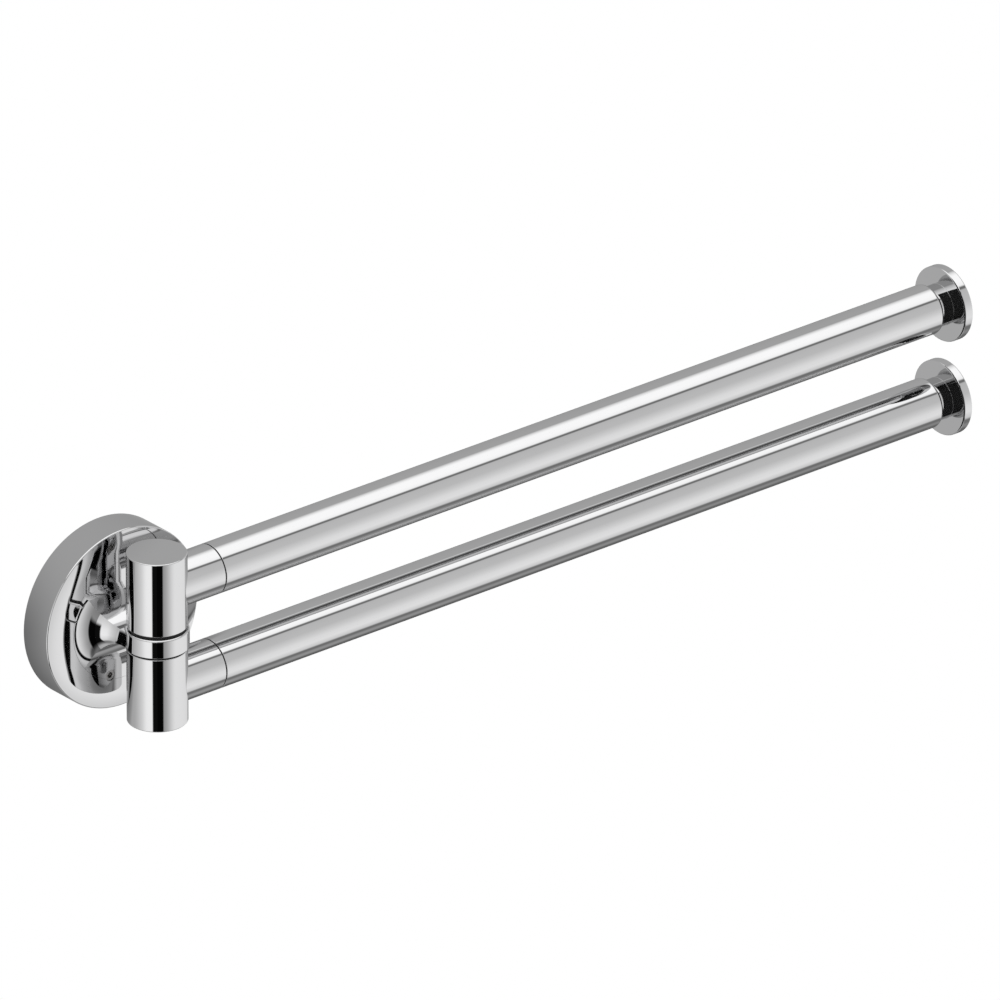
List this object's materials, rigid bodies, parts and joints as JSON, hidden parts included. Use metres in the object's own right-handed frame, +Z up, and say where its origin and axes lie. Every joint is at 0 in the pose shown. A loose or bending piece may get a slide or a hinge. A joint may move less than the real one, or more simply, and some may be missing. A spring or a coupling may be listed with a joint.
{
  "type": "swing arm towel rail",
  "caption": "Round wall rosette with a vertical pivot post carrying parallel towel bars that swing separately, each ending in a flat disc.",
  "frame": {"origin": "on the wall, at the centre of the wall plate's back face", "axes": "+Z up, -Y out of the wall, +X along the arms at rest, parallel to the wall"},
  "size_m": [0.3856, 0.0447, 0.066],
  "materials": {
    "polished_chrome": "polished chrome plating",
    "zinc_plated_steel": "zinc plated",
    "stainless_steel": "turned stainless steel",
    "brass": "turned brass",
    "white_acetal": "turned acetal",
    "black_nylon": "black nylon",
    "black_rubber": "moulded rubber"
  },
  "bodies": {
    "root": {"wall_plate": "zinc_plated_steel", "rosette": "polished_chrome", "rosette_set_screw": "stainless_steel", "pivot_bracket": "polished_chrome", "bracket_screw": "zinc_plated_steel", "bracket_washer": "zinc_plated_steel", "pivot_pin": "stainless_steel", "upper_thrust_washer": "black_nylon", "upper_friction_ring": "black_rubber", "lower_thrust_washer": "black_nylon", "lower_friction_ring": "black_rubber"},
    "upper_arm": {"upper_swivel_body": "polished_chrome", "upper_pivot_bush": "white_acetal", "upper_retaining_screw": "stainless_steel", "upper_joint_stud": "zinc_plated_steel", "upper_inner_plug": "brass", "upper_tube": "polished_chrome", "upper_outer_plug": "brass", "upper_end_stud": "zinc_plated_steel", "upper_end_knob": "polished_chrome"},
    "lower_arm": {"lower_swivel_body": "polished_chrome", "lower_pivot_bush": "white_acetal", "lower_retaining_screw": "stainless_steel", "lower_joint_stud": "zinc_plated_steel", "lower_inner_plug": "brass", "lower_tube": "polished_chrome", "lower_outer_plug": "brass", "lower_end_stud": "zinc_plated_steel", "lower_end_knob": "polished_chrome"}
  },
  "joints": [
    {"name": "upper_arm_swing", "type": "hinge", "parent": "root", "child": "upper_arm", "pos_m": [0, -0.0311, 0.01805], "axis": [0, 0, -1], "range_deg": [0, 180]},
    {"name": "lower_arm_swing", "type": "hinge", "parent": "root", "child": "lower_arm", "pos_m": [0, -0.0311, -0.01785], "axis": [0, 0, -1], "range_deg": [0, 180]}
  ]
}
